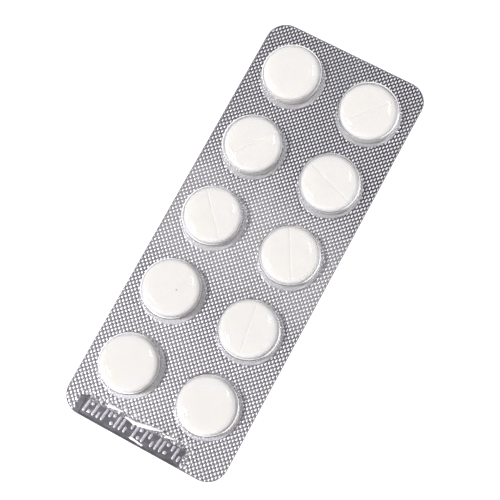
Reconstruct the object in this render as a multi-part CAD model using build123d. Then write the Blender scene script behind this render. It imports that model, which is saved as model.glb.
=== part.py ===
from build123d import *
from math import cos, radians, tan
import os

os.makedirs("parts", exist_ok=True)

# A tablet blister pack: clear film drawn into ten pockets, sealed to aluminium foil,
# with one scored tablet lying on the foil in each pocket.
# Millimetres. The origin is the centre of the underside, +Z is up through the
# pockets, +Y runs along the pack to its plain end and -Y to the end with the code strip.

# Tablet, a flat-faced disc with bevelled edges and a score line across one face
tablet_diameter = 12.0
tablet_thickness = 3.8
bevel_width = 0.6
bevel_height = 0.4
score_width = 0.6
score_depth = 0.3

# Sheets: the foil's thickness is taken over its embossing
foil_thickness = 0.12
web_thickness = 0.25  # film where it lies flat between the pockets
drawn_thickness = 0.20  # film where it is stretched into a pocket

# Pocket, as the tablet sees it from inside
side_clearance = 0.75  # tablet to pocket wall, at the foil
head_clearance = 0.60  # tablet to pocket roof
wall_draft = 7.0  # degrees
shoulder_radius = 1.8  # inside, where the wall turns into the roof
foot_radius = 0.5  # outside, where the wall turns into the flat web
tablet_slide = 0.15  # how far a loose tablet lies off its pocket's centre

# Pockets and the sealed land round them, from pocket edge to pocket edge or pack edge
pocket_columns = 2
pocket_rows = 5
column_land = 4.55
row_land = 3.85
side_margin = 2.65
plain_end_margin = 3.75
code_end_margin = 7.10
corner_radius = 4.5

# Code strip, pressed smooth into the film along one end
strip_width = 3.7
strip_depth = 0.06
strip_end_margin = 0.3
strip_left_margin = 4.6
strip_right_margin = 9.0
strip_corner_radius = 0.5

# How each tablet lies, column by column from the plain end: the angle of its score
# line, whether that face is up, and the direction in which it has slid, in degrees
tablet_lies = [
    (20, False, 135),
    (53, True, 350),
    (132, True, 70),
    (80, False, 120),
    (10, False, 205),
    (50, True, 280),
    (161, True, 315),
    (120, True, 65),
    (99, True, 145),
    (65, False, 210),
]

# Levels and sizes that follow
foil_top = foil_thickness
web_top = foil_top + web_thickness
cavity_roof = foil_top + tablet_thickness + head_clearance
cavity_radius = tablet_diameter / 2 + side_clearance
pocket_roof = cavity_roof + drawn_thickness
draft_slope = tan(radians(wall_draft))
pocket_radius = cavity_radius - web_thickness * draft_slope + drawn_thickness / cos(radians(wall_draft))

column_pitch = 2 * pocket_radius + column_land
row_pitch = 2 * pocket_radius + row_land
pack_width = (pocket_columns - 1) * column_pitch + 2 * pocket_radius + 2 * side_margin
pack_length = (pocket_rows - 1) * row_pitch + 2 * pocket_radius + plain_end_margin + code_end_margin
grid_offset = (code_end_margin - plain_end_margin) / 2


def pocket_places():
    # One place for each pocket, column by column, each from the plain end down
    places = []
    for column in range(pocket_columns):
        for row in range(pocket_rows):
            x = (column - (pocket_columns - 1) / 2) * column_pitch
            y = ((pocket_rows - 1) / 2 - row) * row_pitch + grid_offset
            places.append(Location((x, y, 0)))
    return places


def sheet(bottom, thickness):
    # The pack's rounded outline, as a flat sheet
    outline = RectangleRounded(pack_width, pack_length, corner_radius)
    return Pos(0, 0, bottom) * extrude(outline, amount=thickness)


def drawn_form(mouth_radius, mouth, roof, shoulder, foot, skirt):
    # A drafted round form with a rounded roof edge, flaring into a flat brim below
    roof_radius = mouth_radius - (roof - mouth) * draft_slope
    brim_radius = mouth_radius + 2 * foot
    outline = Polyline(
        (0, mouth - skirt),
        (brim_radius, mouth - skirt),
        (brim_radius, mouth),
        (mouth_radius, mouth),
        (roof_radius, roof),
        (0, roof),
        close=True,
    )
    section = make_face(Plane.XZ * outline)
    for corner, radius in (((roof_radius, 0, roof), shoulder), ((mouth_radius, 0, mouth), foot)):
        section = fillet(section.vertices().sort_by_distance(corner)[0], radius)
    return revolve(section, Axis.Z)


def pocket_film():
    # One thin-walled piece: the flat web with every pocket drawn up out of it
    outside = drawn_form(
        pocket_radius, web_top, pocket_roof, shoulder_radius + drawn_thickness, foot_radius, web_thickness
    )
    inside = drawn_form(
        cavity_radius, foil_top, cavity_roof, shoulder_radius, foot_radius + drawn_thickness, foil_thickness
    )
    film = sheet(foil_top, web_thickness)
    film += [place * outside for place in pocket_places()]
    film -= [place * inside for place in pocket_places()]
    return film - code_strip()


def code_strip():
    # The shallow smooth band that the code stamp leaves in the web
    strip_length = pack_width - strip_left_margin - strip_right_margin
    centre_x = (strip_left_margin - strip_right_margin) / 2
    centre_y = -pack_length / 2 + strip_end_margin + strip_width / 2
    outline = RectangleRounded(strip_length, strip_width, strip_corner_radius)
    return Pos(centre_x, centre_y, web_top - strip_depth) * extrude(outline, amount=2 * strip_depth)


def tablet(score_angle, score_up):
    # Bevelled disc standing on z = 0, with its score line on the upper or lower face
    radius = tablet_diameter / 2
    half_section = Polyline(
        (0, 0),
        (radius - bevel_width, 0),
        (radius, bevel_height),
        (radius, tablet_thickness - bevel_height),
        (radius - bevel_width, tablet_thickness),
        (0, tablet_thickness),
        close=True,
    )
    disc = revolve(make_face(Plane.XZ * half_section), Axis.Z)
    groove_section = Polyline(
        (-score_width, tablet_thickness + score_depth),
        (0, tablet_thickness - score_depth),
        (score_width, tablet_thickness + score_depth),
        close=True,
    )
    groove = extrude(make_face(Plane.XZ * groove_section), amount=tablet_diameter, both=True)
    scored = disc - Rot(0, 0, score_angle - 90) * groove
    return scored if score_up else Pos(0, 0, tablet_thickness) * Rot(0, 180, 0) * scored


def tablets():
    # Every tablet lies on the foil, a little off the centre of its own pocket
    placed = {}
    for index, place in enumerate(pocket_places()):
        score_angle, score_up, slide_angle = tablet_lies[index % len(tablet_lies)]
        slide = Rot(0, 0, slide_angle) * Pos(tablet_slide, 0, 0)
        lie = place * Pos(*slide.position) * Pos(0, 0, foil_top)
        placed[f"tablet_{index + 1:02d}"] = lie * tablet(score_angle, score_up)
    return placed


nodes = {"pocket_film": pocket_film(), "lidding_foil": sheet(0, foil_thickness), **tablets()}
for name, solid in nodes.items():
    export_step(solid, f"parts/{name}.step")

print(f"pack {pack_length:.2f} x {pack_width:.2f} x {pocket_roof:.2f} mm, {len(nodes)} pieces")
print(f"pitches {row_pitch:.2f} along and {column_pitch:.2f} across")
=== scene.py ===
import bpy
import math
from functools import partial
import numpy as np
from mathutils import Matrix, Vector, noise
from mathutils.geometry import delaunay_2d_cdt


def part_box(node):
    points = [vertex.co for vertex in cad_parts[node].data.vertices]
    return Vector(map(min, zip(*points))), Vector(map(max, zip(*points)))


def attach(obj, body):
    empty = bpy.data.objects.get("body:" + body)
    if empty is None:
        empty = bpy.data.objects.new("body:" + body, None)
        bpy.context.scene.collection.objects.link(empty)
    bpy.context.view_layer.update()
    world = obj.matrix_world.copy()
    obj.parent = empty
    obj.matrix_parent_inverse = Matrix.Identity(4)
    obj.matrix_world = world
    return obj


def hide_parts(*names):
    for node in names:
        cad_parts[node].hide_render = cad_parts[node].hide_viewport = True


# A tablet blister pack: clear drawn film over embossed foil, with ten white tablets.
# Sizes are in millimetres, and become metres where a mesh or a node needs them.
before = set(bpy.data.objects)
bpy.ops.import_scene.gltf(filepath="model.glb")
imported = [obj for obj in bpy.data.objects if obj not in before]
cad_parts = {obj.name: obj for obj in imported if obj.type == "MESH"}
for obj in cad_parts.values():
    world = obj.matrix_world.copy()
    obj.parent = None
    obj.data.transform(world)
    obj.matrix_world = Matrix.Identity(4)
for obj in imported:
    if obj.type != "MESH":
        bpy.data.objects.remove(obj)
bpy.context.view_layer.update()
mm = 0.001

filmLow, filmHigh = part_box("pocket_film")
packWidth = (filmHigh.x - filmLow.x) / mm
packLength = (filmHigh.y - filmLow.y) / mm
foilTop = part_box("lidding_foil")[1].z / mm
roofTop = filmHigh.z / mm
print("frame loaded, pack", round(packLength, 2), "by", round(packWidth, 2), "by", round(roofTop, 2), "mm")


# helpers for node trees

def addNode(tree, kind, values=None, **settings):
    made = tree.nodes.new(kind)
    for name, value in settings.items():
        setattr(made, name, value)
    for key, value in (values or {}).items():
        if isinstance(value, bpy.types.NodeSocket):
            tree.links.new(value, made.inputs[key])
        else:
            made.inputs[key].default_value = value
    return made


def nodeOut(tree, kind, values=None, **settings):  # a new node's first output
    return addNode(tree, kind, values, **settings).outputs[0]


def nodeMath(tree, operation, first, second=0.0, third=0.0, clamp=False):
    return nodeOut(tree, "ShaderNodeMath", {0: first, 1: second, 2: third},
                   operation=operation, use_clamp=clamp)


def nodeVector(tree, operation, first, second):  # a vector, or a number for a distance or dot product
    made = addNode(tree, "ShaderNodeVectorMath", {0: first, 1: second}, operation=operation)
    return made.outputs["Value" if operation in ("DISTANCE", "DOT_PRODUCT") else "Vector"]


def smoothRamp(tree, value, low, high, lowOut=0.0, highOut=1.0):  # eased map from low..high
    return nodeOut(tree, "ShaderNodeMapRange", {0: value, 1: low, 2: high, 3: lowOut, 4: highOut},
                   interpolation_type="SMOOTHSTEP")


def mixValue(tree, factor, first, second):
    return nodeOut(tree, "ShaderNodeMix", {0: factor, 2: first, 3: second}, data_type="FLOAT")


def mixColour(tree, factor, first, second):
    first, second = (value if isinstance(value, bpy.types.NodeSocket) else (*value, 1.0)
                     for value in (first, second))
    return addNode(tree, "ShaderNodeMix", {0: factor, 6: first, 7: second}, data_type="RGBA").outputs[2]


def split(tree, vector):
    return addNode(tree, "ShaderNodeSeparateXYZ", {0: vector}).outputs


def objectPlace(tree):
    return addNode(tree, "ShaderNodeTexCoord").outputs["Object"]


def shaderMask(tree, name, output="Fac"):  # an attribute of the mesh
    return addNode(tree, "ShaderNodeAttribute", attribute_name=name).outputs[output]


def meshValue(tree, name, kind="FLOAT"):  # the same in Geometry Nodes
    return nodeOut(tree, "GeometryNodeInputNamedAttribute", {"Name": name}, data_type=kind)


def newGroup(name, inputs, outputs=None):  # each socket has its kind, or else its usual value
    kind = "ShaderNodeTree"
    if outputs is None:    # Geometry Nodes take and give a mesh
        kind, outputs = "GeometryNodeTree", {"Geometry": "Geometry"}
        inputs = {**outputs, **inputs, "Material": "Material"}
    tree = bpy.data.node_groups.new(name, kind)
    kinds = {float: "Float", int: "Int", tuple: "Vector"}
    for way, sockets in (("INPUT", inputs), ("OUTPUT", outputs)):
        for label, value in sockets.items():
            socketKind = "NodeSocket" + kinds.get(type(value), value)
            made = tree.interface.new_socket(label, in_out=way, socket_type=socketKind)
            if type(value) in kinds:
                made.default_value = value
    return tree, tree.nodes.new("NodeGroupInput").outputs, tree.nodes.new("NodeGroupOutput").inputs


def useGroup(tree, group, values=None):
    return addNode(tree, "ShaderNodeGroup", values, node_tree=group).outputs


def newMaterial(name):
    material = bpy.data.materials.new(name)
    material.use_nodes = True
    material.node_tree.nodes.clear()
    return material, material.node_tree


def roughened(tree, geometry, place, scale, detail, level, amount):  # noise along the normals
    texture = nodeOut(tree, "ShaderNodeTexNoise", {"Vector": place, "Scale": scale, "Detail": detail})
    height = nodeMath(tree, "MULTIPLY", nodeMath(tree, "SUBTRACT", texture, level), amount)
    normal = nodeOut(tree, "GeometryNodeInputNormal")
    swell = nodeOut(tree, "ShaderNodeVectorMath", {0: normal, "Scale": height}, operation="SCALE")
    return nodeOut(tree, "GeometryNodeSetPosition", {"Geometry": geometry, "Offset": swell})


def latticeParts(tree, place, pitch):  # where a place lies between two grooves, -0.5 to 0.5 each way
    seat = split(tree, place)
    root = nodeMath(tree, "MULTIPLY", pitch, math.sqrt(2))
    made = []
    for operation in ("ADD", "SUBTRACT"):
        along = nodeMath(tree, "DIVIDE", nodeMath(tree, operation, seat["Y"], seat["X"]), root)
        made.append(nodeMath(tree, "SUBTRACT", nodeMath(tree, "FRACT", along), 0.5))
    return made, root


def endTree(tree, geometry, material, ends):  # realized, shaded smooth and given its material
    for kind, values in (("GeometryNodeRealizeInstances", {}), ("GeometryNodeSetShadeSmooth", {}),
                         ("GeometryNodeSetMaterial", {"Material": material})):
        geometry = nodeOut(tree, kind, {0: geometry, **values})
    tree.links.new(geometry, ends[0])


def runTree(thing, tree, values):  # each named input is set by its socket's identifier
    modifier = thing.modifiers.new(tree.name, "NODES")
    modifier.node_group = tree
    found = {item.name: item.identifier for item in tree.interface.items_tree
             if item.item_type == "SOCKET" and item.in_out == "INPUT"}
    for name, value in values.items():
        modifier[found[name]] = value


def bakeNodes(thing):  # the evaluated result becomes the object's plain mesh
    depsgraph = bpy.context.evaluated_depsgraph_get()
    depsgraph.update()
    made = bpy.data.meshes.new_from_object(thing.evaluated_get(depsgraph))
    thing.modifiers.clear()
    thing.data = made
    made.set_sharp_from_angle(angle=math.radians(60))
    return made


# helpers for meshes

def meshFrom(name, points, faces):  # points in millimetres
    mesh = bpy.data.meshes.new(name)
    mesh.from_pydata((np.asarray(points, float) * mm).tolist(), [], [tuple(f) for f in faces])
    mesh.validate()
    mesh.update()
    return mesh


def addAttribute(mesh, name, values):
    values = np.asarray(values, np.float32)
    isVector = values.ndim == 2
    made = mesh.attributes.new(name, "FLOAT_VECTOR" if isVector else "FLOAT", "POINT")
    made.data.foreach_set("vector" if isVector else "value", values.ravel())


def linkObject(data):      # under the name of its data
    made = bpy.data.objects.new(data.name, data)
    bpy.context.scene.collection.objects.link(made)
    return made


def easeStep(value, low, high):
    t = np.clip((value - low) / (high - low), 0, 1)
    return t * t * (3 - 2 * t)


def filletRun(corners, rounds, steps):  # corners of a run in r and z, each rounded by its radius
    made = [corners[0]]
    for i, (radius, count) in enumerate(zip(rounds, steps)):
        before, here, after = (np.array(corner, float) for corner in corners[i:i + 3])
        toBefore = (before - here) / np.linalg.norm(before - here)
        toAfter = (after - here) / np.linalg.norm(after - here)
        half = math.acos(float(np.clip(np.dot(toBefore, toAfter), -1, 1))) / 2
        middle = (toBefore + toAfter) / np.linalg.norm(toBefore + toAfter)
        centre = here + middle * radius / math.sin(half)
        a = here + toBefore * radius / math.tan(half) - centre
        b = here + toAfter * radius / math.tan(half) - centre
        sweep = math.atan2(a[0] * b[1] - a[1] * b[0], float(np.dot(a, b)))
        for k in range(count + 1):
            t = sweep * k / count
            made.append((centre[0] + a[0] * math.cos(t) - a[1] * math.sin(t),
                         centre[1] + a[0] * math.sin(t) + a[1] * math.cos(t)))
    made.append(corners[-1])
    return made


def circleLoop(cx, cy, radius, count):
    angles = np.arange(count) * 2 * math.pi / count
    return np.stack([cx + radius * np.cos(angles), cy + radius * np.sin(angles)], axis=1)


def strokePlace(x, y, x0, y0, x1, y1):  # how far along a straight stroke, 0 to 1, and the way from it
    dx, dy = x1 - x0, y1 - y0
    t = np.clip(((x - x0) * dx + (y - y0) * dy) / (dx * dx + dy * dy), 0, 1)
    return t, x - x0 - t * dx, y - y0 - t * dy


def whereIn(points, wanted):  # the number of each wanted point in a list
    numbers = {(round(p[0], 4), round(p[1], 4)): i for i, p in enumerate(points)}
    return [numbers[(round(p[0], 4), round(p[1], 4))] for p in wanted]


def bandFaces(first, second):  # between two closed rings of points
    count = len(first)
    return [(first[k], second[k], second[(k + 1) % count], first[(k + 1) % count]) for k in range(count)]


def turnedArea(a, b, c):  # twice a triangle's area, negative when it runs clockwise
    return (b[0] - a[0]) * (c[1] - a[1]) - (b[1] - a[1]) * (c[0] - a[0])


# camera at the photograph's viewing angle

cameraFit = {
    "place": (49.03, -49.57, 286.84),
    "right": (0.8759, 0.4781, -0.0656),
    "down": (0.4540, -0.8625, -0.2235),
    "ahead": (-0.1634, 0.1660, -0.9725),
    "lens": 100.8,
}
right, down, ahead = (Vector(cameraFit[k]).normalized() for k in ("right", "down", "ahead"))
cameraData = bpy.data.cameras.new("photoCamera")
cameraData.lens = cameraFit["lens"]
cameraData.sensor_width = 36.0
cameraData.clip_start = 0.01
cameraData.clip_end = 20.0
camera = linkObject(cameraData)
turn = Matrix((right, -down, -ahead)).transposed().to_4x4()
camera.matrix_world = Matrix.Translation(Vector(cameraFit["place"]) * mm) @ turn
bpy.context.scene.camera = camera
bpy.context.scene.view_settings.view_transform = "Standard"
print("camera placed")


# pockets and the pack's outline

pocket = {
    "columns": 2,
    "rows": 5,
    "columnPitch": 18.392,
    "rowPitch": 17.692,
    "gridOffset": 1.675,
    "outerMouth": 6.921,   # radius at the web's top
    "shoulder": 1.0,
    "foot": 0.02,
    "draft": 7.0,          # degrees
    "wall": 0.20,
    "web": 0.25,
    "roofFlat": 4.6,       # radius at which the roof's flat middle would meet its falling rim
    "roofFall": 25.0,      # fall of that rim, degrees
    "roofBend": 4.5,       # radius of the bend between the two
    "brim": 7.0,           # the smooth ring round a pocket ends here
    "segments": 84,
    "steps": (3, 8, 7),    # points along the foot, the shoulder and the roof's bend
    "roofRings": 2,
    "filmGap": 0.004,      # air left between the film and the foil
    "mergeGap": 0.004,
    "roofSpare": 0.012,    # room left over the roof for its waves
    "waves": 0.04,         # how uneven the drawn film is
    "waveScale": 260.0,
    "tautRoof": 0.4,       # share of the waves left in the middle of the roof
    "tautRing": (3.0, 5.2),
    "seed": 4,
}
outline = {"cornerRadius": 4.5, "cornerSteps": 12, "edgeSpacing": 0.55}
webTop = foilTop + pocket["web"]

pocketCentres = [((column - (pocket["columns"] - 1) / 2) * pocket["columnPitch"],
                  ((pocket["rows"] - 1) / 2 - row) * pocket["rowPitch"] + pocket["gridOffset"])
                 for column in range(pocket["columns"]) for row in range(pocket["rows"])]


def outlineLoop():
    radius, steps = outline["cornerRadius"], outline["cornerSteps"]
    midX, midY = packWidth / 2 - radius, packLength / 2 - radius
    corners = [(midX, midY, 0), (-midX, midY, 90), (-midX, -midY, 180), (midX, -midY, 270)]

    def onCorner(corner, extra):
        angle = math.radians(corner[2] + extra)
        return corner[0] + radius * math.cos(angle), corner[1] + radius * math.sin(angle)

    points = []
    for i, corner in enumerate(corners):
        points += [onCorner(corner, 90 * k / steps) for k in range(steps + 1)]
        last, goal = points[-1], onCorner(corners[(i + 1) % 4], 0)
        count = max(1, round(math.dist(last, goal) / outline["edgeSpacing"]))
        points += [(last[0] + (goal[0] - last[0]) * k / count, last[1] + (goal[1] - last[1]) * k / count)
                   for k in range(1, count)]
    return np.array(points)


def boxGap(x, y, halfX, halfY, radius):  # how far inside a rounded box, negative outside
    qx, qy = np.abs(x) - halfX + radius, np.abs(y) - halfY + radius
    return radius - np.hypot(np.maximum(qx, 0), np.maximum(qy, 0)) - np.minimum(np.maximum(qx, qy), 0)


def outlineGap(x, y):
    return boxGap(x, y, packWidth / 2, packLength / 2, outline["cornerRadius"])


def pocketGap(x, y):  # distance to the nearest pocket's centre
    return np.min([np.hypot(x - cx, y - cy) for cx, cy in pocketCentres], axis=0)


# embossing and the code strip, as heights over the flat web

embossing = {
    "pitch": 0.775,        # between neighbouring grooves, which run at 45 degrees
    "foilDepth": 0.096,
    "filmDepth": 0.035,
    "fineSteps": (0.0, 0.26, 0.5, 0.74),
    "coarseSteps": (0.0, 0.3, 0.7),
    "margin": 0.07,        # its points keep this far off the loops
    "smoothRing": 0.08,    # over which the embossing dies out round a pocket
    "ovalWidth": 0.18,     # half the width and length of the painted highlight on a pad's top
    "ovalLength": 0.36,
    "ovalLean": -5.0,      # degrees
    "ovalPlace": (-0.04, -0.09),   # its middle, from the middle of the pad, moved toward the side where the left lamp's highlight falls
    "disturbed": 0.26,     # how far the stamp has pushed the pads beside the strip
    "disturbedScale": 1.7,
    "disturbedReach": (0.4, 3.4),
    "seed": 7,
}
strip = {
    "box": (-14.17, 9.77, -47.43, -43.73),    # left, right, low, high
    "paintedGroundBox": (-15.7, 9.5, -49.5, -43.55),   # where the foil is crushed flat, and its flat ground painted dark, a painted dark reflection of the dim room over it
    "corner": 0.5,
    "edge": 0.12,          # half the width over which the strip begins
    "ragged": 0.24,        # how uneven the dark area's edge is
    "raggedScale": 1.1,
    "depth": 0.06,
    "spacing": 0.14,
    "markHeight": 0.10,
    "foilShare": 0.5,      # shares of that height that the foil and the film take up
    "filmShare": 0.4,
    "foilStamp": 0.9,      # share of the whole stamp that the foil takes up
    "markWidth": 0.46,
    "marks": "bdblbudbblubdbulbbdubl",   # tall, low and high bars and pairs of dots
    "markPitch": 1.06,
    "markStart": 0.85,
    "markSpan": (1.1, 0.45),   # left free below and above the marks
    "markLean": 0.12,
    "foldHeight": 0.085,
    # wrinkles: start, half width there, end, half width there
    "wrinkles": ((-9.1, -43.15, 0.36, -6.0, -43.0, 0.14),
                 (-5.0, -43.6, 0.14, -2.6, -43.8, 0.30),
                 (-2.6, -43.8, 0.30, -0.8, -43.45, 0.50),
                 (-0.8, -43.45, 0.50, 0.65, -43.15, 0.42),
                 (0.65, -43.15, 0.42, 3.2, -42.6, 0.10),
                 (4.5, -43.1, 0.28, 6.4, -42.9, 0.12),
                 (-2.0, -46.75, 0.22, 0.9, -47.1, 0.16)),
}


def stripGap(x, y, box="box"):  # how far inside the strip, negative outside
    left, right, low, high = strip[box]
    return boxGap(x - (left + right) / 2, y - (low + high) / 2, (right - left) / 2, (high - low) / 2,
                  strip["corner"])


def stampedMarks(x, y):  # a row of generic bars and dots, 0 to 1
    gap = np.full_like(x, 9.0)
    left, _, low, high = strip["box"]
    low, high = low + strip["markSpan"][0], high - strip["markSpan"][1]
    middle, lean = (low + high) / 2, strip["markLean"]
    spans = {"b": (low, high), "l": (low, middle - 0.3), "u": (middle + 0.3, high)}
    for i, mark in enumerate(strip["marks"]):
        at = left + strip["markStart"] + i * strip["markPitch"]
        if mark == "d":
            for y0 in (low + 0.2, high - 0.2):
                gap = np.minimum(gap, np.hypot(x - at, y - y0) - 0.1)
        else:
            foot, head = spans[mark]
            _, offX, offY = strokePlace(x, y, at + lean * (foot - middle), foot,
                                        at + lean * (head - middle), head)
            gap = np.minimum(gap, np.hypot(offX, offY))
    half = strip["markWidth"] / 2
    return (1 - easeStep(gap, half * 0.45, half * 1.3)) * easeStep(stripGap(x, y), 0.05, 0.3)


def creases(x, y):  # wrinkles that the stamp has pushed up, and a painted shadow line below each, 0 to 1
    tops, foldShadows = np.zeros_like(x), np.zeros_like(x)
    for x0, y0, half0, x1, y1, half1 in strip["wrinkles"]:
        t, offX, offY = strokePlace(x, y, x0, y0, x1, y1)
        half = half0 + (half1 - half0) * t
        tops = np.maximum(tops, 1 - easeStep(np.hypot(offX, offY) / half, 0.5, 1.15))
        foldShadows = np.maximum(foldShadows, 1 - easeStep(np.hypot(offX, offY + half * 1.35) / half, 0.35, 1.0))
    return tops, foldShadows * (1 - tops)


def noiseAt(x, y, scale, level, where):  # smooth noise in x and y at the chosen points
    noise.seed_set(embossing["seed"])        # or else it changes with the clock
    made = np.zeros((len(x), 2))
    for i in np.nonzero(where)[0]:
        made[i] = noise.noise_vector((x[i] * scale, y[i] * scale, level))[:2]
    return made


def latticeShift(x, y):  # how the stamp has pushed the lattice about beside the strip, in metres
    foot = strip["box"][2]
    near = (1 - easeStep(-stripGap(x, y), *embossing["disturbedReach"])) * easeStep(y, foot - 3, foot)
    push = noiseAt(x, y, embossing["disturbedScale"], 2.5, near > 0.01)
    return np.c_[push * near[:, None] * embossing["disturbed"] * 2, np.zeros(len(x))] * mm


def landMasks(points, markShare):  # masks for the embossing, the strip, its marks and folds, with a painted shadow line below each fold
    x, y = points[:, 0], points[:, 1]
    gap = pocketGap(x, y)
    marks = stampedMarks(x, y)
    folds, foldShadows = creases(x, y)
    wobble = noiseAt(x, y, strip["raggedScale"], 7.5, stripGap(x, y, "paintedGroundBox") > -1.0) * strip["ragged"] * 2
    inStrip = easeStep(stripGap(x, y), -0.1, strip["edge"])
    ground = easeStep(stripGap(x + wobble[:, 0], y + wobble[:, 1], "paintedGroundBox"), -0.1, strip["edge"])
    # painted shadow: the line below each wrinkle is painted as the strip's dark ground
    ground = np.maximum(ground, foldShadows)
    land = easeStep(gap, pocket["brim"], pocket["brim"] + embossing["smoothRing"])
    stamp = marks * strip["markHeight"] * markShare - strip["depth"] * inStrip + folds * strip["foldHeight"]
    return {"land": land * ((1 - np.maximum(ground, inStrip)) * (1 - folds)), "stamp": stamp * mm,
            "strip": ground, "mark": marks * (1 - folds), "fold": folds,
            "disc": 1 - easeStep(gap, pocket["brim"] - 0.15, pocket["brim"] - 0.02)}


def sheetSpots(steps):  # lattice points of the embossing, kept off the loops and the strip
    pitch, margin = embossing["pitch"], embossing["margin"]
    reach = int((packLength + packWidth) / pitch / math.sqrt(2)) + 4
    lines = np.sort(np.concatenate([np.arange(-reach, reach) + s for s in steps])) * pitch
    u, v = (a.ravel() for a in np.meshgrid(lines, lines))
    x, y = (u - v) / math.sqrt(2), (u + v) / math.sqrt(2)
    keep = outlineGap(x, y) > margin
    keep &= (pocketGap(x, y) > pocket["brim"] + margin) & (stripGap(x, y) < -strip["edge"])
    left, right, low, high = strip["box"]
    fineX, fineY = (a.ravel() for a in np.meshgrid(np.arange(left - 0.1, right + 0.2, strip["spacing"]),
                                                   np.arange(low - 0.1, high + 0.2, strip["spacing"])))
    fine = (outlineGap(fineX, fineY) > margin) & (stripGap(fineX, fineY) > -strip["edge"])
    return np.concatenate([np.stack([x[keep], y[keep]], 1), np.stack([fineX[fine], fineY[fine]], 1)])


def discSpots():  # rings of points under every pocket, which keep the smooth foil there flat
    rings = ((0.985, pocket["segments"]), (0.95, 60), (0.88, 48), (0.7, 32), (0.4, 16), (0.1, 5))
    return np.concatenate([circleLoop(cx, cy, pocket["brim"] * share, count)
                           for cx, cy in pocketCentres for share, count in rings])


edgeLoop = outlineLoop()
brimLoops = [circleLoop(cx, cy, pocket["brim"], pocket["segments"]) for cx, cy in pocketCentres]
brimChord = pocket["brim"] * math.cos(math.pi / pocket["segments"]) - 0.001


def triangulate(spots, holes=0):  # flat triangles within the pack's outline, or outside the pockets too
    points, edges = list(map(tuple, spots)), []
    for loop in [edgeLoop] + brimLoops:
        first = len(points)
        points += list(map(tuple, loop))
        edges += [(first + k, first + (k + 1) % len(loop)) for k in range(len(loop))]
    made = delaunay_2d_cdt([Vector(p) for p in points], edges, [], 0, 1e-5)
    flat = np.array([(v.x, v.y) for v in made[0]])
    faces = np.array([f for f in made[2] if len(f) == 3])
    middle = flat[faces].mean(axis=1)
    keep = outlineGap(middle[:, 0], middle[:, 1]) > -0.02
    if holes:
        keep &= pocketGap(middle[:, 0], middle[:, 1]) > holes
    faces = faces[keep]
    wrong = turnedArea(*(flat[faces[:, k]].T for k in range(3))) < 0
    faces[wrong] = faces[wrong][:, ::-1]
    used, back = np.unique(faces, return_inverse=True)
    return flat[used], back.reshape(-1, 3)


def closedSheet(top, low, topLevel, lowLevel):  # two flat faces and the cut edge between them
    (topSpots, topFaces), (lowSpots, lowFaces) = top, low
    count = len(topSpots)
    points = np.concatenate([np.c_[topSpots, np.full(count, topLevel)],
                             np.c_[lowSpots, np.full(len(lowSpots), lowLevel)]])
    faces = [tuple(f) for f in topFaces] + [tuple(f[::-1] + count) for f in lowFaces]
    faces += bandFaces(whereIn(topSpots, edgeLoop), [count + i for i in whereIn(lowSpots, edgeLoop)])
    return points, faces


def pressTree():  # presses the embossing and the stamped marks into a flat sheet
    tree, inp, out = newGroup("pressSheet", {"Pitch": 0.001, "Depth": 0.0001, "Stamp Scale": 1.0})
    calc = partial(nodeMath, tree)
    place = nodeOut(tree, "GeometryNodeInputPosition")
    shifted = nodeVector(tree, "ADD", place, meshValue(tree, "shift", "FLOAT_VECTOR"))
    parts, _ = latticeParts(tree, shifted, inp["Pitch"])
    gaps = [calc("SUBTRACT", 0.5, calc("ABSOLUTE", part)) for part in parts]
    # a pad is a low dome: highest between the grooves and steepest beside them
    domes = [calc("MULTIPLY", calc("MULTIPLY", gap, 4.0), calc("SUBTRACT", 1.0, gap)) for gap in gaps]
    pad = calc("MULTIPLY", calc("SUBTRACT", 1.0, calc("MULTIPLY", *domes)), meshValue(tree, "land"))
    drop = calc("MULTIPLY", calc("MULTIPLY", pad, inp["Depth"]), -1.0)
    lift = calc("ADD", drop, calc("MULTIPLY", meshValue(tree, "stamp"), inp["Stamp Scale"]))
    offset = nodeOut(tree, "ShaderNodeCombineXYZ", {2: lift})
    moved = nodeOut(tree, "GeometryNodeSetPosition", {"Geometry": inp["Geometry"], "Offset": offset})
    endTree(tree, moved, inp["Material"], out)
    return tree


pressNodes = pressTree()
print("outline, pockets and embossing ready")


# shared shader groups

def latticeGroup():  # a painted highlight on each pad's oval top and painted shade over the grooves and their crossings, read from Object coordinates
    tree, inp, out = newGroup(
        "latticeMask", {"Pitch": 0.000775, "Oval Width": 0.0002, "Oval Length": 0.0003, "Shift": "Vector"},
        {"Groove": "Float", "Crossing": "Float"})
    calc = partial(nodeMath, tree)
    parts, root = latticeParts(tree, nodeVector(tree, "ADD", objectPlace(tree), inp["Shift"]), inp["Pitch"])
    half = calc("MULTIPLY", root, 0.5)
    fromTop = [calc("MULTIPLY_ADD", calc(operation, *parts), half, -offset * mm)
               for operation, offset in zip(("SUBTRACT", "ADD"), embossing["ovalPlace"])]
    lean = math.radians(embossing["ovalLean"])
    across = calc("MULTIPLY_ADD", fromTop[0], math.cos(lean), calc("MULTIPLY", fromTop[1], math.sin(lean)))
    lengthways = calc("MULTIPLY_ADD", fromTop[1], math.cos(lean),
                      calc("MULTIPLY", fromTop[0], -math.sin(lean)))
    squares = [calc("POWER", calc("ABSOLUTE", calc("DIVIDE", way, inp[size])), 2.0)
               for way, size in ((across, "Oval Width"), (lengthways, "Oval Length"))]
    reach = calc("SQRT", calc("ADD", *squares))
    tree.links.new(smoothRamp(tree, reach, 0.7, 1.3), out["Groove"])
    corner = calc("ADD", *[calc("ABSOLUTE", part) for part in parts])
    tree.links.new(smoothRamp(tree, corner, 0.64, 0.92), out["Crossing"])
    return tree


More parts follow.
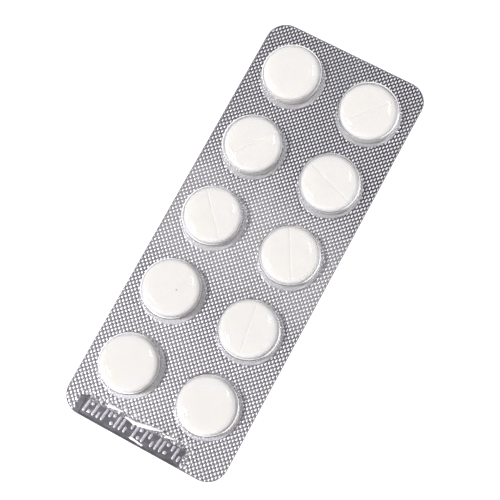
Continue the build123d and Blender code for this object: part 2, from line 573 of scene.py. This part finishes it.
def mottleGroup():  # soft cloudy variation and a fine grain, both 0 to 1
    tree, inp, out = newGroup(
        "mottle", {"Cloud Scale": 200.0, "Grain Scale": 4000.0, "Stretch": (1.0, 1.0, 1.0)},
        {"Cloud": "Float", "Grain": "Float"})
    scaled = nodeVector(tree, "MULTIPLY", objectPlace(tree), inp["Stretch"])
    for name, detail in (("Cloud", 3.0), ("Grain", 2.0)):
        texture = nodeOut(tree, "ShaderNodeTexNoise",
                          {"Vector": scaled, "Scale": inp[name + " Scale"], "Detail": detail})
        tree.links.new(texture, out[name])
    return tree


def outlineGroup():  # how far inside the pack's outline, read from Object coordinates
    tree, _, out = newGroup("outlineMask", {}, {"Gap": "Float"})
    calc = partial(nodeMath, tree)
    seat = split(tree, objectPlace(tree))
    radius = outline["cornerRadius"] * mm
    past = [calc("SUBTRACT", calc("ABSOLUTE", seat[name]), size / 2 * mm - radius)
            for name, size in (("X", packWidth), ("Y", packLength))]
    squares = [calc("POWER", calc("MAXIMUM", part, 0.0), 2.0) for part in past]
    outside = calc("SQRT", calc("ADD", *squares))
    inside = calc("MINIMUM", calc("MAXIMUM", *past), 0.0)
    tree.links.new(calc("SUBTRACT", calc("SUBTRACT", radius, outside), inside), out["Gap"])
    return tree


latticeMask = latticeGroup()
mottle = mottleGroup()
outlineMask = outlineGroup()


# foil

foilFinish = {
    "pad": (0.92, 0.92, 0.93),
    # painted shade: the pads' darker colour
    "paintedShadedPad": (0.66, 0.66, 0.67),
    # groove: painted shade over the grooves round each pad's painted highlight
    "groove": (0.034, 0.028, 0.055),
    # painted light: the grooves' paler colour
    "paintedLitGroove": (0.345, 0.338, 0.355),
    "crossing": 0.95,      # how dark the painted shade at the grooves' crossings stays
    # strip and paleStrip: the painted dark reflection on the crushed ground, mottled
    "strip": (0.20, 0.195, 0.225),
    "paleStrip": (0.31, 0.305, 0.335),
    "mark": (0.40, 0.39, 0.43),
    # painted highlight along the marks' sloping edges
    "markEdgeHighlight": (0.66, 0.655, 0.69),
    # painted highlight on the wrinkles' tops
    "fold": (0.97, 0.97, 0.97),
    "rim": (0.20, 0.20, 0.22),
    "rimWidth": 0.24,
    "smooth": (0.80, 0.80, 0.82),
    # painted shade in a narrow ring at each pocket's foot
    "ring": (0.33, 0.33, 0.355),
    "cloud": (0.45, 0.45, 0.5),
    "cloudShare": 0.12,
    "padRoughness": 0.36,
    "grooveRoughness": 0.42,
    "smoothRoughness": 0.36,
    "stripRoughness": 0.20,
    "raisedRoughness": 0.42,
    "grain": 0.08,         # added to the roughness
    "spare": 0.002,        # room left over the foil
    "sheet": 0.020,        # thickness of the metal
    # painted light and shade across the pack, where the grooves are painted paler and the pads painted
    # darker: from, to, and the value at each, in metres on the pack
    "drift": (0.016, 0.012),   # how far clouds push these places along and across
    "middleLine": 0.007,
    "middleBand": (0.004, 0.019, 0.80, 0.0),   # by the distance from that line
    "sideBand": (-0.004, 0.016, 0.45, 0.06),
    "upperFade": (0.012, 0.045, 1.0, 0.35),
    "lowFade": (-0.020, -0.002, 1.0, 0.0),
    "lowSide": (-0.010, 0.006, 0.25, 0.55),
    "padShadeBand": (-0.055, 0.025, 1.0, 0.0),
    "padShadeLean": 0.83,
    "padShadeMiddle": 0.4,
}


def foilMaterial():
    material, tree = newMaterial("embossedFoil")
    calc, ramp, mix = (partial(tool, tree) for tool in (nodeMath, smoothRamp, mixColour))
    finish = foilFinish
    masks = {name: shaderMask(tree, name) for name in ("land", "strip", "mark", "fold", "disc")}
    lattice = useGroup(tree, latticeMask, {"Pitch": embossing["pitch"] * mm,
                                           "Oval Width": embossing["ovalWidth"] * mm,
                                           "Oval Length": embossing["ovalLength"] * mm,
                                           "Shift": shaderMask(tree, "shift", "Vector")})
    spots = useGroup(tree, mottle, {"Cloud Scale": 90.0, "Grain Scale": 2600.0, "Stretch": (1.0, 0.35, 1.0)})
    stripMottle = useGroup(tree, mottle, {"Cloud Scale": 900.0, "Grain Scale": 2600.0, "Stretch": (0.45, 1.0, 1.0)})
    pressedLand = ramp(masks["land"], 0.1, 0.7)
    # painted light: the grooves are painted paler across the middle of the pack, along one side and toward
    # its low end
    place = split(tree, objectPlace(tree))
    driftX, driftY = (calc("MULTIPLY_ADD", spots["Cloud"], drift, place[axis])
                      for axis, drift in zip("XY", finish["drift"]))
    middle = ramp(calc("ABSOLUTE", calc("SUBTRACT", driftY, finish["middleLine"])), *finish["middleBand"])
    grooveLight = calc("MULTIPLY", calc("ADD", ramp(driftX, *finish["sideBand"]), middle),
                ramp(driftY, *finish["upperFade"]))
    low = calc("MULTIPLY", ramp(driftY, *finish["lowFade"]), ramp(driftX, *finish["lowSide"]))
    groove = mix(calc("ADD", grooveLight, low), finish["groove"], finish["paintedLitGroove"])
    crossing = calc("SUBTRACT", finish["crossing"], middle, clamp=True)
    # painted shade at the grooves' crossings
    groove = mix(calc("MULTIPLY", lattice["Crossing"], crossing), groove, finish["groove"])
    # painted shade: the pads darker toward one corner and across the middle
    padShade = ramp(calc("MULTIPLY_ADD", place["X"], finish["padShadeLean"], place["Y"]), *finish["padShadeBand"])
    padShade = calc("MULTIPLY_ADD", middle, finish["padShadeMiddle"], padShade, clamp=True)
    # painted highlight on each pad's oval top, painted shade in the grooves round it
    colour = mix(lattice["Groove"], mix(padShade, finish["pad"], finish["paintedShadedPad"]), groove)
    # smooth under the pockets with painted shade at each pocket's foot, a painted dark reflection on the
    # code strip's crushed ground, marks lighter, painted highlights on the marks' edges and the folds
    # painted shade: the ring at each pocket's foot is darker than the smooth foil
    colour = mix(pressedLand, mix(masks["disc"], finish["ring"], finish["smooth"]), colour)
    # painted dark reflection on the code strip's crushed ground, mottled
    dark = mix(ramp(stripMottle["Cloud"], 0.42, 0.68), finish["strip"], finish["paleStrip"])
    colour = mix(ramp(masks["strip"], 0.2, 0.8), colour, dark)
    inMark, onFold = ramp(masks["mark"], 0.15, 0.45), ramp(masks["fold"], 0.25, 0.7)
    # painted highlight on the marks' sloping edges, plain mark colour in their middles
    colour = mix(inMark, colour, mix(ramp(masks["mark"], 0.5, 0.85), finish["markEdgeHighlight"], finish["mark"]))
    # painted highlight on the wrinkles' tops
    colour = mix(onFold, colour, finish["fold"])
    rimWidth = finish["rimWidth"] * mm
    nearEdge = ramp(useGroup(tree, outlineMask)["Gap"], rimWidth * 0.4, rimWidth, 1.0, 0.0)
    colour = mix(nearEdge, colour, finish["rim"])
    colour = mix(ramp(spots["Cloud"], 0.3, 0.7, 0.0, finish["cloudShare"]), colour, finish["cloud"])
    rough = calc("MULTIPLY_ADD", lattice["Groove"], finish["grooveRoughness"] - finish["padRoughness"],
                 finish["padRoughness"])
    rough = mixValue(tree, pressedLand, finish["smoothRoughness"], rough)
    rough = mixValue(tree, masks["strip"], rough, finish["stripRoughness"])
    rough = mixValue(tree, calc("MAXIMUM", inMark, onFold), rough, finish["raisedRoughness"])
    rough = calc("MULTIPLY_ADD", spots["Grain"], finish["grain"], rough)
    bump = nodeOut(tree, "ShaderNodeBump", {"Strength": 0.12, "Distance": 0.00002, "Height": spots["Grain"]})
    surface = nodeOut(tree, "ShaderNodeBsdfPrincipled",
                      {"Base Color": colour, "Metallic": 1.0, "Roughness": rough, "Normal": bump})
    addNode(tree, "ShaderNodeOutputMaterial", {"Surface": surface})
    return material


def pressed(thing, depth, material, stampScale):
    runTree(thing, pressNodes, {"Pitch": embossing["pitch"] * mm, "Depth": depth * mm,
                                "Stamp Scale": stampScale, "Material": material})


def makeFoil():
    top, low = (triangulate(np.concatenate([sheetSpots(embossing[steps]), discSpots()]))
                for steps in ("fineSteps", "coarseSteps"))
    topLevel = foilTop - foilFinish["spare"]
    points, faces = closedSheet(top, low, topLevel, topLevel - foilFinish["sheet"])
    mesh = meshFrom("embossed_foil", points, faces)
    for name, values in landMasks(points, strip["foilShare"]).items():
        addAttribute(mesh, name, values)
    addAttribute(mesh, "shift", latticeShift(points[:, 0], points[:, 1]))
    thing = linkObject(mesh)
    pressed(thing, embossing["foilDepth"], foilMaterial(), strip["foilStamp"])
    bakeNodes(thing)
    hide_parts("lidding_foil")
    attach(thing, "root")
    return thing


foil = makeFoil()
print("foil", len(foil.data.polygons), "faces")


# film

filmFinish = {
    "tint": (0.955, 0.934, 0.941),
    "clear": (0.985, 0.985, 0.99),   # what is left of light that only passes through
    "roughness": 0.035,
    "ior": 1.53,
    "ripple": 0.05,
}


def filmMaterial():
    material, tree = newMaterial("clearFilm")
    spots = useGroup(tree, mottle, {"Cloud Scale": 160.0, "Grain Scale": 900.0})
    bump = nodeOut(tree, "ShaderNodeBump",
                   {"Strength": filmFinish["ripple"], "Distance": 0.0001, "Height": spots["Cloud"]})
    surface = nodeOut(tree, "ShaderNodeBsdfPrincipled",
                      {"Base Color": (*filmFinish["tint"], 1), "Roughness": filmFinish["roughness"],
                       "IOR": filmFinish["ior"], "Transmission Weight": 1.0, "Normal": bump})
    # lamps and light already scattered inside pass straight through the thin film
    clear = nodeOut(tree, "ShaderNodeBsdfTransparent", {"Color": (*filmFinish["clear"], 1)})
    path = addNode(tree, "ShaderNodeLightPath").outputs
    shown = surface
    for name, other in (("Is Glossy Ray", clear), ("Is Transmission Ray", surface),
                        ("Is Diffuse Ray", clear), ("Is Shadow Ray", clear)):
        shown = nodeOut(tree, "ShaderNodeMixShader", {0: path[name], 1: shown, 2: other})
    addNode(tree, "ShaderNodeOutputMaterial", {"Surface": shown})
    return material


def pocketRun(foot, inset):  # one wall of a pocket in r and z, from the brim to the middle
    draft, fall = math.radians(pocket["draft"]), math.radians(pocket["roofFall"])
    roof = roofTop - pocket["roofSpare"] - inset
    mouth = pocket["outerMouth"] + (webTop - foot) * math.tan(draft) - inset / math.cos(draft)
    flat = pocket["roofFlat"] - inset * (1 / math.cos(fall) - 1) / math.tan(fall)
    # the wall and the roof's rim would meet here without the shoulder's round
    rim = mouth - math.tan(draft) * (roof - foot + math.tan(fall) * flat)
    rim /= 1 - math.tan(draft) * math.tan(fall)
    corners = [(pocket["brim"], foot), (mouth, foot), (rim, roof - (rim - flat) * math.tan(fall)),
               (flat, roof), (0, roof)]
    rounds = (pocket["foot"] + inset, pocket["shoulder"] - inset, pocket["roofBend"] - inset)
    run = filletRun(corners, rounds, pocket["steps"])
    # rings across the flat roof, so that it can be shaped
    r, z = run[-2]
    rings = pocket["roofRings"]
    return run[:-1] + [(r * (1 - (k + 1) / (rings + 1)), z) for k in range(rings)] + [run[-1]]


def spunForm(run, count):  # quads round the axis, closed at the middle by a ring of triangles
    angles = np.arange(count) * 2 * math.pi / count
    points = [(r * math.cos(a), r * math.sin(a), z) for r, z in run[:-1] for a in angles]
    points.append((0.0, 0.0, run[-1][1]))
    faces = []
    for ring in range(len(run) - 2):
        for k in range(count):
            a, b = ring * count + k, ring * count + (k + 1) % count
            faces.append((a, b, b + count, a + count))
    last = (len(run) - 2) * count
    faces += [(last + k, last + (k + 1) % count, len(points) - 1) for k in range(count)]
    return points, faces


def pocketTree():  # joins the pressed web with one drawn form at each place of the grid
    lengths = ("Column Pitch", "Row Pitch", "Grid Offset", "Merge Distance", "Waviness", "Wave Scale")
    tree, inp, out = newGroup("drawPockets", {"Pocket Form": "Object", "Columns": 2, "Rows": 2,
                                              **{name: "Float" for name in lengths}, "Seed": "Int"})
    add, calc = partial(nodeOut, tree), partial(nodeMath, tree)
    width = calc("MULTIPLY", calc("SUBTRACT", inp["Columns"], 1.0), inp["Column Pitch"])
    length = calc("MULTIPLY", calc("SUBTRACT", inp["Rows"], 1.0), inp["Row Pitch"])
    grid = add("GeometryNodeMeshGrid", {"Size X": width, "Size Y": length,
                                        "Vertices X": inp["Columns"], "Vertices Y": inp["Rows"]})
    lift = add("ShaderNodeCombineXYZ", {1: inp["Grid Offset"]})
    places = add("GeometryNodeSetPosition", {"Geometry": grid, "Offset": lift})
    form = addNode(tree, "GeometryNodeObjectInfo", {"Object": inp["Pocket Form"]}).outputs["Geometry"]
    spread = add("GeometryNodeInstanceOnPoints", {"Points": places, "Instance": form})
    pockets = add("GeometryNodeRealizeInstances", {0: spread})
    # the drawn film is a little uneven, more so high on the pocket
    seat = nodeVector(tree, "ADD", add("GeometryNodeInputPosition"),
                      add("ShaderNodeCombineXYZ", {2: inp["Seed"]}))
    waved = roughened(tree, pockets, seat, inp["Wave Scale"], 1.5, 0.5,
                      calc("MULTIPLY", inp["Waviness"], meshValue(tree, "loose")))
    joined = addNode(tree, "GeometryNodeJoinGeometry", {0: waved})
    tree.links.new(inp["Geometry"], joined.inputs[0])
    merged = add("GeometryNodeMergeByDistance",
                 {"Geometry": joined.outputs[0], "Distance": inp["Merge Distance"]})
    endTree(tree, merged, inp["Material"], out)
    return tree


def makeFilm():
    filmCoat = filmMaterial()
    seat = foilTop + pocket["filmGap"]
    # one pocket: outer form facing out, inner form facing in
    outerPoints, outerFaces = spunForm(pocketRun(webTop, 0.0), pocket["segments"])
    innerPoints, innerFaces = spunForm(pocketRun(seat, pocket["wall"]), pocket["segments"])
    high = np.array(outerPoints + innerPoints)
    faces = outerFaces + [tuple(i + len(outerPoints) for i in f[::-1]) for f in innerFaces]
    form = linkObject(meshFrom("pocket_form", high, faces))
    rise = (high[:, 2] - webTop) / (roofTop - webTop)
    # the waves move both walls alike, so the inner one takes them with the sign turned
    side = np.r_[np.ones(len(outerPoints)), -np.ones(len(innerPoints))]
    taut = pocket["tautRoof"]
    taut += (1 - taut) * easeStep(np.hypot(high[:, 0], high[:, 1]), *pocket["tautRing"])
    addAttribute(form.data, "loose", side * easeStep(rise, 0.0, 0.6) * taut)
    # the web: embossed top, plain underside
    points, faces = closedSheet(triangulate(sheetSpots(embossing["fineSteps"]), brimChord),
                                triangulate(np.zeros((0, 2)), brimChord), webTop, seat)
    mesh = meshFrom("clear_film", points, faces)
    masks = landMasks(points, strip["filmShare"])
    isTop = points[:, 2] > (webTop + seat) / 2
    for name in ("land", "stamp"):
        addAttribute(mesh, name, masks[name] * isTop)
    addAttribute(mesh, "shift", latticeShift(points[:, 0], points[:, 1]))
    thing = linkObject(mesh)
    pressed(thing, embossing["filmDepth"], filmCoat, 1.0)
    runTree(thing, pocketTree(), {
        "Pocket Form": form, "Columns": pocket["columns"], "Rows": pocket["rows"],
        "Column Pitch": pocket["columnPitch"] * mm, "Row Pitch": pocket["rowPitch"] * mm,
        "Grid Offset": pocket["gridOffset"] * mm, "Merge Distance": pocket["mergeGap"] * mm,
        "Waviness": pocket["waves"] * mm, "Wave Scale": pocket["waveScale"], "Seed": pocket["seed"],
        "Material": filmCoat})
    bakeNodes(thing)
    bpy.data.objects.remove(form)
    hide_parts("pocket_film")
    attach(thing, "root")
    return thing


film = makeFilm()
print("film", len(film.data.polygons), "faces")


# tablets

tabletShape = {
    "radius": 6.0,
    "bevelWidth": 0.5,
    "bevelHeight": 0.36,
    "edgeRound": 0.5,
    "bandRound": 0.25,
    "scoreWidth": 0.22,    # half the groove's width, with its soft lips
    "scoreDepth": 0.12,
    "scoreShadeDepths": (0.03, 0.10),     # depths at which its painted shade begins and is full
    "roughness": 0.012,
    "grainScale": 1800.0,
    "powder": ((0.955, 0.892, 0.85), (0.97, 0.912, 0.875)),
    # painted shade in the score groove
    "scoreShadeColour": (0.91, 0.89, 0.85),
    "glowDepth": 2.0,      # how far light spreads inside the powder
    "speckPlace": (-0.00797, -0.01583, 0.00392),   # one tablet has a tiny dark speck
    "speckColour": (0.20, 0.18, 0.17),
    "speckSize": (0.10, 0.20),
    # angle of the score line, whether that face is up
    "lies": ((20, 0), (53, 1), (132, 1), (80, 0), (10, 0), (50, 1), (161, 1), (120, 1), (99, 1), (65, 0)),
}


def tabletMaterial():
    material, tree = newMaterial("pressedPowder")
    shape = tabletShape
    spots = useGroup(tree, mottle, {"Cloud Scale": 420.0, "Grain Scale": 5200.0})
    colour = mixColour(tree, smoothRamp(tree, spots["Cloud"], 0.3, 0.7), *shape["powder"])
    # painted shade in the score groove, by the depth kept in the score attribute
    colour = mixColour(tree, shaderMask(tree, "score"), colour, shape["scoreShadeColour"])
    away = nodeVector(tree, "DISTANCE", objectPlace(tree), shape["speckPlace"])
    inner, outer = (size * mm for size in shape["speckSize"])
    colour = mixColour(tree, smoothRamp(tree, away, inner, outer, 0.85, 0.0), colour, shape["speckColour"])
    bump = nodeOut(tree, "ShaderNodeBump", {"Strength": 0.22, "Distance": 0.00004, "Height": spots["Grain"]})
    surface = nodeOut(tree, "ShaderNodeBsdfPrincipled",
                      {"Base Color": colour, "Roughness": 0.78, "Specular IOR Level": 0.3,
                       "Normal": bump, "Subsurface Weight": 1.0,
                       "Subsurface Scale": shape["glowDepth"] * mm, "Subsurface Radius": (1.0, 0.95, 0.85)})
    addNode(tree, "ShaderNodeOutputMaterial", {"Surface": surface})
    return material


def tabletBase(height):  # a disc lying along its own score line, ready for the groove
    shape = tabletShape
    radius, inner = shape["radius"], shape["radius"] - shape["bevelWidth"]
    offsets = np.array([0, 0.05, 0.1, 0.16, 0.22, 0.3, 0.4, 0.52, 0.7])    # rows beside the groove
    ends = np.arcsin(offsets / inner)
    angles = np.concatenate([np.arange(64) * 2 * math.pi / 64] +
                            [base + sign * ends for base in (0, math.pi) for sign in (1, -1)])
    angles = np.sort(np.mod(angles, 2 * math.pi))
    closest = 0.004        # angles nearer than this are one
    angles = angles[np.r_[True, np.diff(angles) > closest]]
    if 2 * math.pi - angles[-1] < closest:
        angles = angles[:-1]
    side = filletRun([(inner - 0.5, height), (inner, height), (radius, height - shape["bevelHeight"]),
                      (radius, shape["bevelHeight"]), (inner, 0), (inner - 0.5, 0)],
                     (shape["edgeRound"], shape["bandRound"], shape["bandRound"], shape["edgeRound"]),
                     (4, 3, 3, 4))
    rim = side[0][0]
    spacing = 0.55
    rings = [circleLoop(0, 0, r, max(8, round(2 * math.pi * r / spacing)))
             for r in np.arange(0.6, rim - 0.3, spacing)]
    spots = np.concatenate([np.zeros((1, 2))] + rings)
    spots = spots[np.abs(spots[:, 1]) > 0.75]
    along = np.arange(-rim + 0.25, rim - 0.2, 0.3)
    lines = np.concatenate([np.c_[along, np.full(len(along), o * s)]
                            for o in offsets for s in ((1, -1) if o else (1,))])
    spots = np.concatenate([spots, lines[np.hypot(lines[:, 0], lines[:, 1]) < rim - 0.12]])
    loop = np.c_[rim * np.cos(angles), rim * np.sin(angles)]
    made = delaunay_2d_cdt([Vector(p) for p in np.concatenate([loop, spots])],
                           [(k, (k + 1) % len(loop)) for k in range(len(loop))], [], 1, 1e-5)
    flat = np.array([(v.x, v.y) for v in made[0]])
    count = len(flat)
    points = [(x, y, height) for x, y in flat] + [(x, y, 0.0) for x, y in flat]
    caps = [tuple(f[::-1]) if turnedArea(*(flat[i] for i in f[:3])) < 0 else tuple(f) for f in made[2]]
    faces = caps + [tuple(i + count for i in f[::-1]) for f in caps]
    previous = whereIn(flat, loop)
    bottom = [i + count for i in previous]
    for r, z in side[1:-1]:
        ring = list(range(len(points), len(points) + len(angles)))
        points += [(r * math.cos(a), r * math.sin(a), z) for a in angles]
        faces += bandFaces(previous, ring)
        previous = ring
    return np.array(points), faces + bandFaces(previous, bottom)


def scoreTree():  # presses the score line into a tablet's upper face and roughens it a little
    names = ("Thickness", "Score Width", "Score Depth", "Grain", "Grain Scale", "Seed")
    tree, inp, out = newGroup("pressTablet", {name: "Float" for name in names})
    add, calc = partial(nodeOut, tree), partial(nodeMath, tree)
    place = add("GeometryNodeInputPosition")
    seat = split(tree, place)
    groove = add("ShaderNodeMapRange", {0: calc("ABSOLUTE", seat["Y"]), 1: 0.0, 2: inp["Score Width"],
                                        3: 1.0, 4: 0.0}, interpolation_type="SMOOTHERSTEP")
    floorLevel = calc("SUBTRACT", inp["Thickness"], calc("MULTIPLY", groove, inp["Score Depth"]))
    drop = calc("MINIMUM", calc("SUBTRACT", floorLevel, seat["Z"]), 0.0)
    seen, full = (depth * mm for depth in tabletShape["scoreShadeDepths"])
    depth = add("ShaderNodeMapRange", {0: calc("MULTIPLY", drop, -1.0), 1: seen, 2: full})
    # the groove's depth, kept as the mask of its painted shade
    kept = add("GeometryNodeStoreNamedAttribute",
               {"Geometry": inp["Geometry"], "Name": "score", "Value": depth},
               data_type="FLOAT", domain="POINT")
    offset = add("ShaderNodeCombineXYZ", {2: drop})
    cut = add("GeometryNodeSetPosition", {"Geometry": kept, "Offset": offset})
    shift = add("ShaderNodeCombineXYZ", {0: inp["Seed"], 1: inp["Seed"]})
    spot = nodeVector(tree, "ADD", place, shift)
    rough = roughened(tree, cut, spot, inp["Grain Scale"], 3.0, 0.62, inp["Grain"])
    endTree(tree, rough, inp["Material"], out)
    return tree


def makeTablets():
    powder, scoreNodes = tabletMaterial(), scoreTree()
    low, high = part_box("tablet_01")
    thickness = (high.z - low.z) / mm
    points, faces = tabletBase(thickness)
    made = []
    for i, (angle, scoreUp) in enumerate(tabletShape["lies"]):
        node = f"tablet_{i + 1:02d}"
        low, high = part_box(node)
        thing = linkObject(meshFrom("pressed_" + node, points, faces))
        runTree(thing, scoreNodes, {
            "Thickness": thickness * mm, "Score Width": tabletShape["scoreWidth"] * mm,
            "Score Depth": tabletShape["scoreDepth"] * mm, "Grain": tabletShape["roughness"] * mm,
            "Grain Scale": tabletShape["grainScale"], "Seed": 3.7 * i, "Material": powder})
        mesh = bakeNodes(thing)
        lie = Matrix.Rotation(math.radians(angle), 4, "Z")
        if not scoreUp:
            lie = Matrix.Translation((0, 0, thickness * mm)) @ Matrix.Rotation(math.pi, 4, "Y") @ lie
        mesh.transform(Matrix.Translation(((low.x + high.x) / 2, (low.y + high.y) / 2, low.z)) @ lie)
        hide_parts(node)
        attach(thing, "root")
        made.append(thing)
    return made


tablets = makeTablets()
print("tablets", len(tablets), "with", len(tablets[0].data.polygons), "faces each")


# floor, lights and world

studio = {
    "floorSize": 4000.0,
    "floorColours": ((0.86, 0.86, 0.87), (0.88, 0.88, 0.88)),
    "floorGlow": 0.30,
    "worldFill": 1.8,      # level of the bright side of the room
    "worldDim": 0.30,      # level all round
    "brightWay": (-0.21, -0.96, 0.19),
    "ceiling": 0.30,       # level that glossy surfaces see overhead
    "farSide": 0.25,       # share of it that is left on the darker side
    "darkWay": (1.0, 0.07, 0.0),
    # name, way to it from the pack, distance and size in metres, radiance
    "lamps": (("leftSoftbox", (-0.39, -0.26, 0.883), 1.8, (0.27, 0.10), 150.0),
              ("rightSoftbox", (0.162, 0.442, 0.882), 1.8, (0.17, 0.08), 102.0)),
}


def makeFloor():
    half = studio["floorSize"] / 2
    corners = [(-half, -half, 0), (half, -half, 0), (half, half, 0), (-half, half, 0)]
    thing = linkObject(meshFrom("studio_floor", corners, [range(4)]))
    material, tree = newMaterial("paleFloor")
    spots = useGroup(tree, mottle, {"Cloud Scale": 6.0, "Grain Scale": 800.0})
    colour = mixColour(tree, smoothRamp(tree, spots["Cloud"], 0.2, 0.8), *studio["floorColours"])
    surface = nodeOut(tree, "ShaderNodeBsdfDiffuse", {"Color": colour})
    path = addNode(tree, "ShaderNodeLightPath").outputs
    seen = nodeMath(tree, "MAXIMUM", path["Is Camera Ray"], path["Is Transmission Ray"])
    seen = nodeMath(tree, "MAXIMUM", seen, path["Is Glossy Ray"])
    strength = nodeMath(tree, "MULTIPLY", seen, studio["floorGlow"])
    glow = nodeOut(tree, "ShaderNodeEmission", {"Color": (1, 1, 1, 1), "Strength": strength})
    both = nodeOut(tree, "ShaderNodeAddShader", {0: surface, 1: glow})
    addNode(tree, "ShaderNodeOutputMaterial", {"Surface": both})
    thing.data.materials.append(material)


def areaLight(name, way, distance, size, radiance):  # a softbox that faces the pack
    data = bpy.data.lights.new(name, "AREA")
    data.shape = "RECTANGLE"
    data.size, data.size_y = size
    data.energy = radiance * 4 * size[0] * size[1]
    thing = linkObject(data)
    place = Vector(way).normalized() * distance
    thing.location = place
    thing.rotation_mode = "QUATERNION"
    thing.rotation_quaternion = (-place).to_track_quat("-Z", "Y")


def makeWorld():
    world = bpy.data.worlds.new("studioWorld")
    bpy.context.scene.world = world
    world.use_nodes = True
    tree = world.node_tree
    tree.nodes.clear()
    pick, ramp = partial(mixValue, tree), partial(smoothRamp, tree)
    path = addNode(tree, "ShaderNodeLightPath").outputs
    way = addNode(tree, "ShaderNodeTexCoord").outputs["Generated"]
    darker = nodeVector(tree, "DOT_PRODUCT", way, studio["darkWay"])
    nearer = nodeVector(tree, "DOT_PRODUCT", way, studio["brightWay"])
    # a pale backdrop low down, paler on one side, and a dim room above it
    share = ramp(darker, 0.1, 0.9, 1.0, studio["farSide"])
    glossy = pick(ramp(split(tree, way)["Z"], 0.10, 0.45), share, studio["ceiling"])
    level = ramp(nearer, 0.4, 0.9, studio["worldDim"], studio["worldFill"])
    level = pick(path["Is Glossy Ray"], level, glossy)
    seen = nodeMath(tree, "MAXIMUM", path["Is Camera Ray"], path["Is Transmission Ray"])
    back = nodeOut(tree, "ShaderNodeBackground", {"Color": (1, 1, 1, 1), "Strength": pick(seen, level, 1.0)})
    addNode(tree, "ShaderNodeOutputWorld", {"Surface": back})


makeFloor()
makeWorld()
for lamp in studio["lamps"]:
    areaLight(*lamp)
print("floor, lights and world ready")
